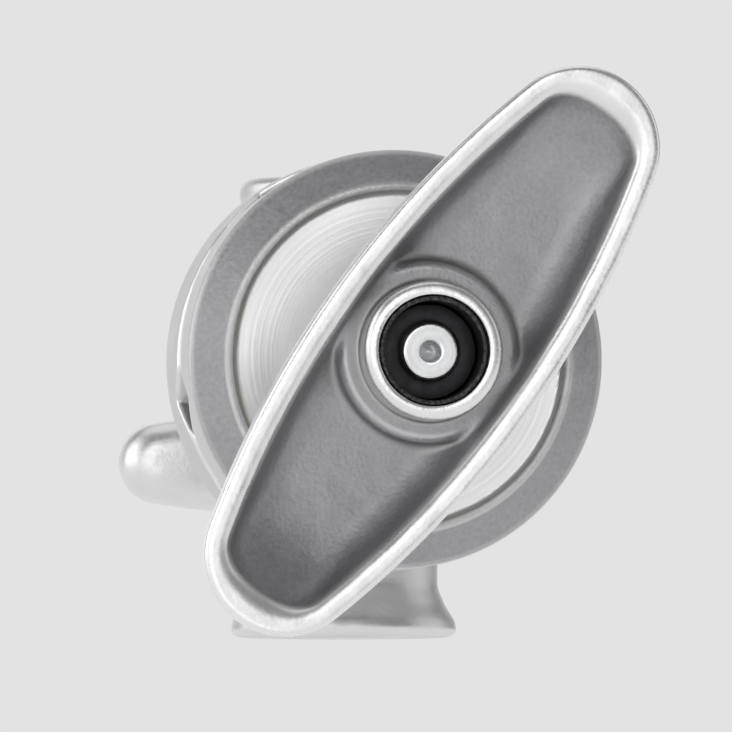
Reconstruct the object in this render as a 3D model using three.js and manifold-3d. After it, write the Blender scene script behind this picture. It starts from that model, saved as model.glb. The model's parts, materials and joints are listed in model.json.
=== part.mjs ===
// A 2.5 inch studio grip head used as an umbrella swivel bracket, modelled in millimetres with +Z up.
// A socket drops over a 5/8 inch stand pin and is locked from behind by a small T-handle. In front of it
// two grooved jaw discs swivel on a horizontal stud, and a big T-handle squeezes them on a shaft.
//
// Origin: where the stand pin's axis (Z) crosses the stud's axis (Y), on the socket's stop face.
// The big T-handle is in front, towards -Y. +X is to the right when looking along +Y.
import * as THREE from "three";
import { mergeVertices } from "three/addons/utils/BufferGeometryUtils.js";
import Module from "manifold-3d";

const wasm = await Module();
wasm.setup();

// ---- Driving dimensions, mm -------------------------------------------------------------------

const GAP = 0.2; // between two pieces that rest on each other
const FIT = 0.15; // radial clearance of a fixed piece in its hole
const RUN = 0.35; // radial clearance of a piece that turns or slides on another
const PAST = 1; // how far a cutting tool runs past the face it cuts
const EDGE = 0.8; // chamfer on a casting's edges

// Sides of a round piece, by its size
const BIG = 40;
const MEDIUM = 28;
const SMALL = 14;

// Socket, along Z
const PIN_R = 7.95; // 5/8 inch stand pin
const BORE_R = PIN_R + 0.25;
const SOCKET_DEPTH = 41; // mouth to stop face
const SOCKET_ROOF = 15.5; // material above the stop face
const BARREL_R = 14.5;
const MOUTH_LIP = { r: 17.5, draft: 0.3, t: 3.2, shoulder: 1.2, shoulderUp: 1.6, flareUp: 4.4 };
const TOP_LIP = { r: 16, edge: 1, t: 3.4, flare: 2.1 };
const LEAD_IN = 1.2; // widening of the bore at the mouth
const STOP_PAD_R = 6;
const STOP_GROOVE = 1; // depth of the groove round the stop pad
const RIB = { t: 6, start: 4, footZ: -33, headZ: -26.5, spread: 26, root: 12 };

// Clamp stack, along the stud. Distances run forward from the socket's axis.
const STUD_R = 4.76; // 3/8 inch
const STUD_SUNK = 3.5; // its end lies below the handle's collar
const STUD_ENDS = { back: 1, front: 0.7 }; // chamfers
const STUD_CENTRE = { r: 1.5, deep: 1.2 }; // drilled in its front end
const RING_GROOVE = 0.8; // depth of the stop ring's groove
const ROLL_PIN = { r: 1.5, half: 11.5, ahead: 14.5 };
const NECK = { r: 14, flare: 2 };
const PLATE_R = 29.5;
const PLATE_BACK = 16;
const PLATE_FRONT = 24;
const PLATE_BACK_EDGE = 1.2;
const FRICTION_R = 27;
const FRICTION_T = 2;
const FRICTION_HOLE_R = STUD_R + 1.2;
const FRICTION_SUNK = 1.2; // depth of the recess that holds the friction disc
const FRICTION_FIT = 0.3;
const JAW_R = 31.75; // 2.5 inch disc
const JAW_T = 12;
const JAW_BEVEL = { wide: 5, deep: 3 };
const JAW_FACE_EDGE = 0.5;
const JAW_GAP = 2.6; // clamped on an 8 mm umbrella shaft
const JAW_TURN = THREE.MathUtils.degToRad(-18.85); // the shaft slopes down to the right
const SPRING_SEAT = { r: 8.8, deep: 5.5 };
const WASHER = { inner: STUD_R + RUN + 0.2, outer: 12.6, t: 1.6 };
const WASHER_SUNK = 1.6;
const WASHER_FIT = 0.5;
const BEARING_T = 2.2;

// Grooves across the jaw faces, one on each side of the stud. Each is a 90 degree V, so its half width
// at the face is its depth.
const GROOVES = [
  { side: -Math.PI / 2, offset: 15.6, depth: 4.4 }, // for 3/8 inch rods and umbrella shafts
  { side: 0, offset: 17.4, depth: 5.8 }, // 1/2 inch
  { side: Math.PI / 2, offset: 18.2, depth: 6.4 }, // 5/8 inch
  { side: Math.PI, offset: 14.6, depth: 3.2 }, // 1/4 inch
];
const GUIDE = { r: 2.45, fromStud: 26, pressed: 6.8, reach: 11.9 };
const GUIDE_SIDES = [-Math.PI / 2, Math.PI]; // beyond the 3/8 and 1/4 inch grooves
const PIN_EDGE = { guide: 0.5, roll: 0.4, cross: 0.3 }; // chamfers
const SPRING = { r: 7.2, wireR: 0.95, turns: 5 };
const CLOSING = 0.85; // how far the spring's end coils close up: 0 evenly wound, 1 touching
const ROLLER = { r: 0.95, inner: 6.3, outer: 11.3, count: 12 };
const CAGE_T = 1.5;

// Big T-handle
const HANDLE_TURN = THREE.MathUtils.degToRad(54);
const HANDLE = { half: 50.3, wide: 17.5, end: 12.3, rim: 3.4 };
const HUB_H = 27;
const WING_T = 12.6; // at the hub
const WING_TIP_T = 9;
const RECESS_DEEP = 8;
const COLLAR_R = 10.5;
const COLLAR_PROUD = 0.8; // collar above the rim
const HUB = { backR: 12.6, neckR: 13, rootR: 14.6, neckBelow: 2.5, rootAbove: 0.5 }; // from its back up
const STEP = { r: 13.6, h: 2.6 }; // round the collar, above the recess's floor
const WING = { flat: 0.6, bevel: 1, floorSlope: 1.4, floorCurve: 0.2 }; // shares of width or recess depth
const NUT = { acrossFlats: 19, h: 11, sleeveR: 8.2, sunk: 0.4 };
const COUNTERBORE = { r: 7.5, deep: 14.3 }; // in the nut's sleeve, below the collar
const STOP_RING = { outer: 7.1, t: 1.8, sunk: 1.7, bite: 0.5 }; // bite: its reach into its groove

// Lock screw and small T-handle, behind the socket. Distances run backward from the socket's axis.
const LOCK_Z = -13;
const LOCK_SCREW_R = 4.9; // M10
const LOCK_BOSS = { r: 10.5, end: 21 };
const LOCK_BUSH = { r: 7.5, start: 9.7, proud: 0.1 };
const LOCK_PAD = { r: 4.3, front: 8.35, t: 2.6, stemR: 1.9, stemL: 4, edge: 0.5 };
const LOCK_HANDLE = { half: 29, wide: 8.2, end: 6.4, rim: 2.2 };
const LOCK_HUB = { r: 8.2, start: 24.5, end: 41 };
const LOCK_HUB_TAPER = { side: 1, top: 0.6 };
const LOCK_WING_T = 8.5;
const LOCK_TIP_T = 6.5;
const LOCK_RECESS_DEEP = 2.6;
const LOCK_CROSS_PIN = { r: 1.4, half: 7.6, at: LOCK_HUB.start + 4 };
const LOCK_SCREW = { start: LOCK_PAD.front + LOCK_PAD.t + GAP, end: LOCK_HUB.end - 4 };

// Worked out from the above
const MOUTH_Z = -SOCKET_DEPTH;
const ROOF_Z = SOCKET_ROOF;
const FRICTION_BACK = PLATE_FRONT - FRICTION_SUNK + GAP;
const INNER_JAW_BACK = FRICTION_BACK + FRICTION_T + GAP;
const INNER_JAW_FACE = INNER_JAW_BACK + JAW_T;
const OUTER_JAW_FACE = INNER_JAW_FACE + JAW_GAP;
const OUTER_JAW_FRONT = OUTER_JAW_FACE + JAW_T;
const REAR_WASHER_BACK = OUTER_JAW_FRONT - WASHER_SUNK + GAP;
const BEARING_BACK = REAR_WASHER_BACK + WASHER.t + GAP;
const FRONT_WASHER_BACK = BEARING_BACK + BEARING_T + GAP;
const HUB_BACK = FRONT_WASHER_BACK + WASHER.t + GAP;
const HUB_FRONT = HUB_BACK + HUB_H;
const RIM_FRONT = HUB_FRONT - COLLAR_PROUD;
const STUD_BACK = BORE_R + 2;
const STUD_FRONT = HUB_FRONT - STUD_SUNK;

// ---- Materials --------------------------------------------------------------------------------

const metal = (color, roughness) => new THREE.MeshStandardMaterial({ color, roughness, metalness: 1 });
const castAluminium = metal(0xd9dadb, 0.32);
const zincSteel = metal(0xc4c6c8, 0.25);
const hardenedSteel = metal(0xa9abad, 0.3);
const springSteel = metal(0x8e9092, 0.35);
const blackSteel = metal(0x0c0c0d, 0.45);
const brass = metal(0xc9a24a, 0.3);
const frictionFibre = new THREE.MeshStandardMaterial({ color: 0x2a2622, roughness: 0.9, metalness: 0 });

// ---- Solid helpers ----------------------------------------------------------------------------

// A closed three.js geometry as a solid that can be joined and cut.
function solid(geometry) {
  const bare = geometry.index ? geometry.toNonIndexed() : geometry.clone();
  bare.deleteAttribute("normal");
  bare.deleteAttribute("uv");
  const merged = mergeVertices(bare, 1e-4);
  return new wasm.Manifold(
    new wasm.Mesh({
      numProp: 3,
      vertProperties: merged.attributes.position.array,
      triVerts: new Uint32Array(merged.index.array),
    }),
  );
}

// A solid as a three.js geometry.
function geometryOf(made) {
  const mesh = made.getMesh();
  const geometry = new THREE.BufferGeometry();
  geometry.setAttribute("position", new THREE.BufferAttribute(new Float32Array(mesh.vertProperties), 3));
  geometry.setIndex(new THREE.BufferAttribute(new Uint32Array(mesh.triVerts), 1));
  return geometry;
}

// A profile of [radius, height] points turned about Z. It starts and ends on the axis, bottom first.
function turned(profile, segments = BIG) {
  const points = profile.map(([r, z]) => new THREE.Vector2(r, z));
  return solid(new THREE.LatheGeometry(points, segments).rotateX(Math.PI / 2));
}

function cylinder(r, from, to, segments = MEDIUM) {
  return turned([[0, from], [r, from], [r, to], [0, to]], segments);
}

// A cylinder whose two edges are cut back by chamfer.
function chamfered(r, from, to, chamfer, segments = MEDIUM) {
  return turned(
    [[0, from], [r - chamfer, from], [r, from + chamfer], [r, to - chamfer], [r - chamfer, to], [0, to]],
    segments,
  );
}

function ring(inner, outer, from, to, segments = BIG) {
  return cylinder(outer, from, to, segments).subtract(cylinder(inner, from - PAST, to + PAST, segments));
}

// A flat outline in X and Y, raised from one height to another.
function raised(shape, from, to, curveSegments = 6, bevel = 0) {
  const geometry = new THREE.ExtrudeGeometry(shape, {
    depth: to - from - 2 * bevel,
    curveSegments,
    bevelEnabled: bevel > 0,
    bevelThickness: bevel,
    bevelSize: bevel,
    bevelOffset: -bevel,
    bevelSegments: 1,
  });
  return solid(geometry.translate(0, 0, from + bevel));
}

// An outline in X and Z, as thick as width across Y and centred on it.
function sideways(shape, width, curveSegments = 6) {
  const geometry = new THREE.ExtrudeGeometry(shape, { depth: width, curveSegments, bevelEnabled: false });
  return solid(geometry.rotateX(Math.PI / 2).translate(0, width / 2, 0));
}

const moved = (made, x, y, z) => made.translate([x, y, z]);
const turnedAboutZ = (made, angle) => made.rotate([0, 0, THREE.MathUtils.radToDeg(angle)]);
// Z becomes the forward direction of the stud, or the backward direction of the lock screw.
const alongStud = (made) => made.rotate([90, 0, 0]);
const alongLock = (made) => made.rotate([90, 0, 180]).translate([0, 0, LOCK_Z]);
const acrossX = (made) => made.rotate([0, 90, 0]);
const acrossY = (made) => made.rotate([-90, 0, 0]);

function piece(name, made, material) {
  const mesh = new THREE.Mesh(geometryOf(made), material);
  mesh.name = name;
  return mesh;
}

// ---- Socket body ------------------------------------------------------------------------------

// The barrel, with a rolled lip at the mouth and a smaller one at the top.
function barrel() {
  const lipTop = MOUTH_Z + MOUTH_LIP.t;
  return turned([
    [0, MOUTH_Z],
    [MOUTH_LIP.r - EDGE, MOUTH_Z],
    [MOUTH_LIP.r, MOUTH_Z + EDGE],
    [MOUTH_LIP.r - MOUTH_LIP.draft, lipTop - EDGE],
    [BARREL_R + MOUTH_LIP.shoulder, lipTop + MOUTH_LIP.shoulderUp],
    [BARREL_R, lipTop + MOUTH_LIP.flareUp],
    [BARREL_R, ROOF_Z - TOP_LIP.t - TOP_LIP.flare],
    [TOP_LIP.r, ROOF_Z - TOP_LIP.t],
    [TOP_LIP.r, ROOF_Z - TOP_LIP.edge],
    [TOP_LIP.r - TOP_LIP.edge, ROOF_Z],
    [0, ROOF_Z],
  ]);
}

// The bore for the stand pin, with a lead-in at the mouth and a groove round the stop face.
function pinBore() {
  return turned([
    [0, MOUTH_Z - PAST],
    [BORE_R + LEAD_IN + PAST, MOUTH_Z - PAST],
    [BORE_R, MOUTH_Z + LEAD_IN],
    [BORE_R, STOP_GROOVE],
    [STOP_PAD_R, STOP_GROOVE],
    [STOP_PAD_R, 0],
    [0, 0],
  ]);
}

// The round plate that the jaws bear on, and the neck that carries it.
function plate() {
  const disc = turned([
    [0, 0],
    [NECK.r, 0],
    [NECK.r, PLATE_BACK - NECK.flare],
    [NECK.r + NECK.flare, PLATE_BACK],
    [PLATE_R - PLATE_BACK_EDGE, PLATE_BACK],
    [PLATE_R, PLATE_BACK + PLATE_BACK_EDGE],
    [PLATE_R, PLATE_FRONT - EDGE],
    [PLATE_R - EDGE, PLATE_FRONT],
    [0, PLATE_FRONT],
  ]);
  const recess = cylinder(FRICTION_R + FRICTION_FIT, PLATE_FRONT - FRICTION_SUNK, PLATE_FRONT + PAST, BIG);
  return alongStud(disc.subtract(recess));
}

// One upright rib under the neck and one flat rib on each side of it.
function ribs() {
  const end = PLATE_BACK + PAST / 2; // just inside the plate
  const under = new THREE.Shape()
    .moveTo(RIB.start, RIB.footZ)
    .lineTo(end, RIB.headZ)
    .lineTo(end, 0)
    .lineTo(RIB.start, 0);
  const upright = sideways(under, RIB.t).rotate([0, 0, -90]);
  const flat = new THREE.Shape()
    .moveTo(-RIB.spread, -end)
    .lineTo(RIB.spread, -end)
    .lineTo(RIB.root, -PAST)
    .lineTo(-RIB.root, -PAST);
  return upright.add(raised(flat, -RIB.t / 2, RIB.t / 2));
}

function socketBody() {
  const lockBoss = alongLock(chamfered(LOCK_BOSS.r, 0, LOCK_BOSS.end, EDGE));
  const casting = barrel().add(plate()).add(ribs()).add(lockBoss);
  const studHole = alongStud(cylinder(STUD_R + FIT, STUD_BACK - GAP, PLATE_FRONT + PAST));
  const pinHole = cylinder(ROLL_PIN.r + FIT, -ROLL_PIN.half - GAP, ROOF_Z + PAST, SMALL);
  const rollPinHole = moved(pinHole, 0, -ROLL_PIN.ahead, 0);
  const bushHole = alongLock(cylinder(LOCK_BUSH.r + FIT, LOCK_BUSH.start - GAP, LOCK_BOSS.end + PAST));
  const screwHole = alongLock(cylinder(LOCK_SCREW_R + RUN, 0, LOCK_BOSS.end));
  return casting
    .subtract(pinBore())
    .subtract(studHole)
    .subtract(rollPinHole)
    .subtract(bushHole)
    .subtract(screwHole);
}

// ---- Stud and the pieces on it ----------------------------------------------------------------

function mainStud() {
  const grooveBack = STUD_FRONT - STOP_RING.sunk - STOP_RING.t - GAP;
  const grooveFront = STUD_FRONT - STOP_RING.sunk + GAP;
  const grooveR = STUD_R - RING_GROOVE;
  const shank = turned(
    [
      [0, STUD_BACK],
      [STUD_R - STUD_ENDS.back, STUD_BACK],
      [STUD_R, STUD_BACK + STUD_ENDS.back],
      [STUD_R, grooveBack],
      [grooveR, grooveBack],
      [grooveR, grooveFront],
      [STUD_R, grooveFront],
      [STUD_R, STUD_FRONT - STUD_ENDS.front],
      [STUD_R - STUD_ENDS.front, STUD_FRONT],
      [STUD_CENTRE.r, STUD_FRONT],
      [0, STUD_FRONT - STUD_CENTRE.deep],
    ],
    MEDIUM,
  );
  const reach = STUD_R + PAST;
  const pinHole = moved(acrossY(cylinder(ROLL_PIN.r + FIT, -reach, reach, SMALL)), 0, 0, ROLL_PIN.ahead);
  return shank.subtract(pinHole);
}

const rollPin = () => chamfered(ROLL_PIN.r, -ROLL_PIN.half, ROLL_PIN.half, PIN_EDGE.roll, SMALL);

function stopRing() {
  const front = STUD_FRONT - STOP_RING.sunk;
  return ring(STUD_R - STOP_RING.bite, STOP_RING.outer, front - STOP_RING.t, front, MEDIUM);
}

const frictionDisc = () => ring(FRICTION_HOLE_R, FRICTION_R, FRICTION_BACK, FRICTION_BACK + FRICTION_T);
const thrustWasher = (back) => ring(WASHER.inner, WASHER.outer, back, back + WASHER.t);

// ---- Jaws -------------------------------------------------------------------------------------

// A square bar standing on its edge at the jaw face, which cuts one V groove.
function grooveTool({ side, offset, depth }) {
  const edge = depth * Math.SQRT2;
  const bar = new THREE.BoxGeometry(edge, 2.4 * JAW_R, edge).rotateY(Math.PI / 4);
  return turnedAboutZ(moved(solid(bar), offset, 0, 0), side);
}

function guidePlaces() {
  return GUIDE_SIDES.map((side) => [GUIDE.fromStud * Math.cos(side), GUIDE.fromStud * Math.sin(side)]);
}

// A jaw with its clamping face at height 0 and its body above it.
function jaw(backBevel, guideHole) {
  const disc = turned([
    [0, 0],
    [JAW_R - JAW_FACE_EDGE, 0],
    [JAW_R, JAW_FACE_EDGE],
    [JAW_R, JAW_T - backBevel.deep],
    [JAW_R - backBevel.wide, JAW_T],
    [0, JAW_T],
  ]);
  const holes = [
    cylinder(STUD_R + RUN, -PAST, JAW_T + PAST),
    cylinder(SPRING_SEAT.r, -PAST, SPRING_SEAT.deep),
    ...GROOVES.map(grooveTool),
    ...guidePlaces().map(([x, y]) => moved(guideHole, x, y, 0)),
  ];
  return holes.reduce((made, hole) => made.subtract(hole), disc);
}

// Its guide holes run right through, so the pins can pass as the jaws close.
function innerJaw() {
  const guideHole = cylinder(GUIDE.r + RUN, -PAST, JAW_T + PAST, SMALL);
  const made = jaw({ wide: EDGE, deep: EDGE }, guideHole);
  return made.mirror([0, 0, 1]).translate([0, 0, INNER_JAW_FACE]);
}

function outerJaw() {
  const guideHole = cylinder(GUIDE.r + FIT, -PAST, GUIDE.pressed + GAP, SMALL);
  const washerSeat = cylinder(WASHER.outer + WASHER_FIT, JAW_T - WASHER_SUNK, JAW_T + PAST, BIG);
  return jaw(JAW_BEVEL, guideHole).subtract(washerSeat).translate([0, 0, OUTER_JAW_FACE]);
}

function guidePin([x, y]) {
  const { r, reach, pressed } = GUIDE;
  const pin = chamfered(r, OUTER_JAW_FACE - reach, OUTER_JAW_FACE + pressed, PIN_EDGE.guide, SMALL);
  return moved(pin, x, y, 0);
}

// A coil about Z whose end turns are wound closer together.
class Coil extends THREE.Curve {
  constructor(radius, length, turns) {
    super();
    this.radius = radius;
    this.length = length;
    this.turns = turns;
  }

  getPoint(t, target = new THREE.Vector3()) {
    const angle = 2 * Math.PI * this.turns * t;
    const height = this.length * (t - (CLOSING / (2 * Math.PI)) * Math.sin(2 * Math.PI * t));
    return target.set(this.radius * Math.cos(angle), this.radius * Math.sin(angle), height);
  }
}

// Both ends of the wire are ground flat.
function jawSpring() {
  const { r, wireR, turns } = SPRING;
  const back = INNER_JAW_FACE - SPRING_SEAT.deep + GAP;
  const front = OUTER_JAW_FACE + SPRING_SEAT.deep - GAP;
  const ground = wireR / 2; // taken off each end
  const wire = new THREE.Shape().absarc(0, 0, wireR, 0, 2 * Math.PI);
  const path = new Coil(r, front - back - 2 * (wireR - ground), turns);
  const coil = new THREE.ExtrudeGeometry(wire, { extrudePath: path, steps: turns * 16, curveSegments: 3 });
  const kept = cylinder(r + 2 * wireR, back, front, SMALL);
  return solid(coil.translate(0, 0, back + wireR - ground)).intersect(kept);
}

// ---- Thrust bearing ---------------------------------------------------------------------------

function rollerAt(index, extra) {
  const angle = (2 * Math.PI * index) / ROLLER.count;
  const made = acrossX(cylinder(ROLLER.r + extra, ROLLER.inner - extra, ROLLER.outer + extra, SMALL));
  return turnedAboutZ(made, angle).translate([0, 0, BEARING_BACK + BEARING_T / 2]);
}

function bearingCage() {
  const back = BEARING_BACK + (BEARING_T - CAGE_T) / 2;
  let made = ring(WASHER.inner, WASHER.outer - 0.3, back, back + CAGE_T);
  for (let i = 0; i < ROLLER.count; i++) {
    made = made.subtract(rollerAt(i, FIT));
  }
  return made;
}

// ---- T-handles --------------------------------------------------------------------------------

// A long oval of two shallow side arcs and two end arcs that meet smoothly, shrunk by inset all round.
function oval({ half, wide, end }, inset = 0) {
  const reach = half - end;
  const bulge = wide - end;
  const drop = (reach * reach - bulge * bulge) / (2 * bulge); // of a side arc's centre
  const sideR = wide + drop - inset;
  const endR = end - inset;
  const turn = Math.atan2(reach, drop);
  return new THREE.Shape()
    .absarc(reach, 0, endR, turn - Math.PI / 2, Math.PI / 2 - turn)
    .absarc(0, -drop, sideR, Math.PI / 2 - turn, Math.PI / 2 + turn)
    .absarc(-reach, 0, endR, Math.PI / 2 + turn, (3 * Math.PI) / 2 - turn)
    .absarc(0, drop, sideR, (3 * Math.PI) / 2 - turn, (3 * Math.PI) / 2 + turn);
}

// The wings: the oval cut to a boat-shaped underside, with a recess that has sloping ends.
function wings(size, front, hubT, tipT, recess) {
  const end = size.half + PAST;
  const flat = size.wide * WING.flat;
  const under = front - hubT;
  const across = 6 * size.wide;
  const hull = new THREE.Shape()
    .moveTo(-end, front + PAST)
    .lineTo(-end, front - tipT)
    .quadraticCurveTo(-size.half / 2, under, -flat, under)
    .lineTo(flat, under)
    .quadraticCurveTo(size.half / 2, under, end, front - tipT)
    .lineTo(end, front + PAST);
  const boat = raised(oval(size), under - PAST, front, 8, WING.bevel).intersect(sideways(hull, across));
  const rimEnd = size.half - size.rim;
  const floorEnd = rimEnd - WING.floorSlope * recess;
  const bend = floorEnd + WING.floorCurve * recess;
  const floor = front - recess;
  const trough = new THREE.Shape()
    .moveTo(-rimEnd - PAST, front + PAST)
    .lineTo(-rimEnd, front)
    .quadraticCurveTo(-bend, floor, -floorEnd, floor)
    .lineTo(floorEnd, floor)
    .quadraticCurveTo(bend, floor, rimEnd, front)
    .lineTo(rimEnd + PAST, front + PAST);
  const well = raised(oval(size, size.rim), floor - PAST, front + 2 * PAST, 6);
  return boat.subtract(well.intersect(sideways(trough, across)));
}

function hexagon(acrossFlats) {
  const corner = acrossFlats / Math.sqrt(3);
  const shape = new THREE.Shape();
  for (let i = 0; i < 6; i++) {
    const angle = (i * Math.PI) / 3;
    shape[i ? "lineTo" : "moveTo"](corner * Math.cos(angle), corner * Math.sin(angle));
  }
  return shape;
}

function tHandle() {
  const floor = RIM_FRONT - RECESS_DEEP;
  const under = RIM_FRONT - WING_T;
  const hub = turned([
    [0, HUB_BACK],
    [HUB.backR - EDGE, HUB_BACK],
    [HUB.backR, HUB_BACK + EDGE],
    [HUB.neckR, under - HUB.neckBelow],
    [HUB.rootR, under + HUB.rootAbove],
    [STEP.r, floor],
    [STEP.r, floor + STEP.h],
    [STEP.r - EDGE, floor + STEP.h + EDGE],
    [COLLAR_R, floor + STEP.h + EDGE],
    [COLLAR_R, HUB_FRONT - EDGE],
    [COLLAR_R - EDGE, HUB_FRONT],
    [0, HUB_FRONT],
  ]);
  const nutPocket = raised(hexagon(NUT.acrossFlats + 2 * FIT), HUB_BACK - PAST, HUB_BACK + NUT.h + 2 * GAP);
  const sleeveHole = cylinder(NUT.sleeveR + FIT, HUB_BACK - PAST, HUB_FRONT + PAST);
  return wings(HANDLE, RIM_FRONT, WING_T, WING_TIP_T, RECESS_DEEP)
    .add(hub)
    .subtract(nutPocket)
    .subtract(sleeveHole);
}

// The threaded insert: a hexagon let into the hub's back, and a sleeve that lines the hub to its collar.
function handleNut() {
  const back = HUB_BACK + GAP;
  const front = HUB_FRONT - NUT.sunk;
  return raised(hexagon(NUT.acrossFlats), back, back + NUT.h)
    .add(cylinder(NUT.sleeveR, back + PAST, front))
    .subtract(cylinder(COUNTERBORE.r, HUB_FRONT - COUNTERBORE.deep, front + PAST))
    .subtract(cylinder(STUD_R + RUN, back - PAST, front));
}

// ---- Lock screw group, built along Z and turned to point backward -----------------------------

const lockBush = () =>
  ring(LOCK_SCREW_R + RUN, LOCK_BUSH.r, LOCK_BUSH.start, LOCK_BOSS.end + LOCK_BUSH.proud, MEDIUM);

// A soft pad that meets the stand pin, snapped into the screw's tip by its stem.
function lockPad() {
  const { r, front, t, stemR, stemL, edge } = LOCK_PAD;
  return chamfered(r, front, front + t, edge).add(cylinder(stemR, front + t - PAST, front + t + stemL, SMALL));
}

function crossPinHole() {
  const { r, at } = LOCK_CROSS_PIN;
  const reach = LOCK_HUB.r + PAST;
  return moved(acrossY(cylinder(r + FIT, -reach, reach, SMALL)), 0, 0, at);
}

function lockScrew() {
  const { start, end } = LOCK_SCREW;
  const stemHole = cylinder(LOCK_PAD.stemR + RUN, start - PAST, start + LOCK_PAD.stemL + RUN, SMALL);
  return chamfered(LOCK_SCREW_R, start, end, EDGE).subtract(stemHole).subtract(crossPinHole());
}

function lockTHandle() {
  const { r, start, end } = LOCK_HUB;
  const { side, top } = LOCK_HUB_TAPER;
  const hub = turned([
    [0, start],
    [r - EDGE, start],
    [r, start + EDGE],
    [r, end - LOCK_WING_T],
    [r - side, end - top],
    [r - side - top, end],
    [0, end],
  ]);
  return wings(LOCK_HANDLE, end - top, LOCK_WING_T, LOCK_TIP_T, LOCK_RECESS_DEEP)
    .add(hub)
    .subtract(cylinder(LOCK_SCREW_R + FIT, start - PAST, LOCK_SCREW.end + GAP))
    .subtract(crossPinHole());
}

function lockCrossPin() {
  const { r, half, at } = LOCK_CROSS_PIN;
  return moved(acrossY(chamfered(r, -half, half, PIN_EDGE.cross, SMALL)), 0, 0, at);
}

// ---- Assembly ---------------------------------------------------------------------------------

const gripHead = new THREE.Group();

const socket = new THREE.Group();
socket.add(piece("socket_body", socketBody(), castAluminium));
const pin = piece("stud_roll_pin", rollPin(), hardenedSteel);
pin.position.y = -ROLL_PIN.ahead;
socket.add(pin);

// Everything on the stud is modelled with X right, Y up and Z forward, then turned to face -Y.
const onStud = new THREE.Group();
onStud.rotation.x = Math.PI / 2;
onStud.add(piece("main_stud", mainStud(), zincSteel));
onStud.add(piece("stud_stop_ring", stopRing(), blackSteel));
onStud.add(piece("friction_disc", frictionDisc(), frictionFibre));

const jaws = new THREE.Group();
jaws.rotation.z = JAW_TURN;
jaws.add(piece("inner_jaw", innerJaw(), castAluminium));
jaws.add(piece("outer_jaw", outerJaw(), castAluminium));
jaws.add(piece("jaw_spring", jawSpring(), springSteel));
guidePlaces().forEach((place, i) => {
  jaws.add(piece(`jaw_guide_pin_${i + 1}`, guidePin(place), hardenedSteel));
});
jaws.add(piece("rear_thrust_washer", thrustWasher(REAR_WASHER_BACK), hardenedSteel));
onStud.add(jaws);

onStud.add(piece("bearing_cage", bearingCage(), brass));
for (let i = 0; i < ROLLER.count; i++) {
  onStud.add(piece(`bearing_roller_${i + 1}`, rollerAt(i, 0), hardenedSteel));
}

const handle = new THREE.Group();
handle.rotation.z = HANDLE_TURN;
handle.add(piece("front_thrust_washer", thrustWasher(FRONT_WASHER_BACK), hardenedSteel));
handle.add(piece("t_handle", tHandle(), castAluminium));
handle.add(piece("handle_nut", handleNut(), blackSteel));
onStud.add(handle);

const lock = new THREE.Group();
lock.rotation.set(Math.PI / 2, 0, Math.PI, "ZYX");
lock.position.z = LOCK_Z;
lock.add(piece("lock_bush", lockBush(), zincSteel));
lock.add(piece("lock_pad", lockPad(), brass));
lock.add(piece("lock_screw", lockScrew(), zincSteel));
lock.add(piece("lock_t_handle", lockTHandle(), castAluminium));
lock.add(piece("lock_cross_pin", lockCrossPin(), hardenedSteel));

gripHead.add(socket, onStud, lock);

export default gripHead;
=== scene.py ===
"""A cast aluminium grip head used as an umbrella swivel bracket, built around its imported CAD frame.

Castings and threads are shaped as distance fields and meshed with a surface net, so that every edge
and corner gets a real radius. Turned pieces are profiles swept round an axis. Sizes and places come
from the CAD nodes. Lengths are millimetres until a mesh is made.
"""

import json
import math

import bpy
import numpy as np
from mathutils import Matrix, Vector


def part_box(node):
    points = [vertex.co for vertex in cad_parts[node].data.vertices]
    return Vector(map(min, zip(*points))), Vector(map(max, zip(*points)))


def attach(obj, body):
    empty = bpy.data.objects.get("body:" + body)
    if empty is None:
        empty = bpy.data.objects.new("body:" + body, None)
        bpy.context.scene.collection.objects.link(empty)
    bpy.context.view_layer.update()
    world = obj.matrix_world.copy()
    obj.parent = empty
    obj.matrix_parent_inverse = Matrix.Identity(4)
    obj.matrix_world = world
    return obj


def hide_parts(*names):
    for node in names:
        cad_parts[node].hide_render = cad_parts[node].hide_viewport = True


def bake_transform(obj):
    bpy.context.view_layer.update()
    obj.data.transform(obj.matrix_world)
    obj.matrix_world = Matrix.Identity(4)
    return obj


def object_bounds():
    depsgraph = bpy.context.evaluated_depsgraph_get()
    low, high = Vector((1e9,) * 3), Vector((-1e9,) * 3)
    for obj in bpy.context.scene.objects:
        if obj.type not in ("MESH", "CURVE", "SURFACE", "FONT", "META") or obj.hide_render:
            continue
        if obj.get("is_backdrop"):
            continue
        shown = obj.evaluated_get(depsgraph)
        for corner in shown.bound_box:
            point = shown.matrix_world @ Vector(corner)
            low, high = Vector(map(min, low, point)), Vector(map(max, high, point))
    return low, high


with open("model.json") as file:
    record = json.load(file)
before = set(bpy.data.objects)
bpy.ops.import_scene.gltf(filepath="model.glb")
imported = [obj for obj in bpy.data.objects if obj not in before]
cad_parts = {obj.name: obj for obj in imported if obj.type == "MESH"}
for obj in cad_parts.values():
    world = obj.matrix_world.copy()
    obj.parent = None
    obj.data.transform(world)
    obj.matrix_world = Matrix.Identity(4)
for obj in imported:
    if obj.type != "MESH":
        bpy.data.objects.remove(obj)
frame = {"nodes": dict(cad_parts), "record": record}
cad_low, cad_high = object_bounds()

MM = 0.001
TAU = 2 * math.pi
COARSER = 1
CAST_CELL = 0.42 * COARSER  # grid of a casting's surface net
FINE_CELL = 0.27 * COARSER  # for threads and small pieces
CLEAR = 0.35  # round a shaft that slides or turns
THREAD_PITCH = 25.4 / 16  # of the 3/8 inch stud
LOCK_PITCH = 1.5  # of the M10 lock screw
FINE = ".fine"  # ends the name of the piece that stands for a CAD node

# ---- Reading the frame -------------------------------------------------------------------------


def middle(node):
    low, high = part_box(node)
    return (low + high) / 2 / MM


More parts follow.
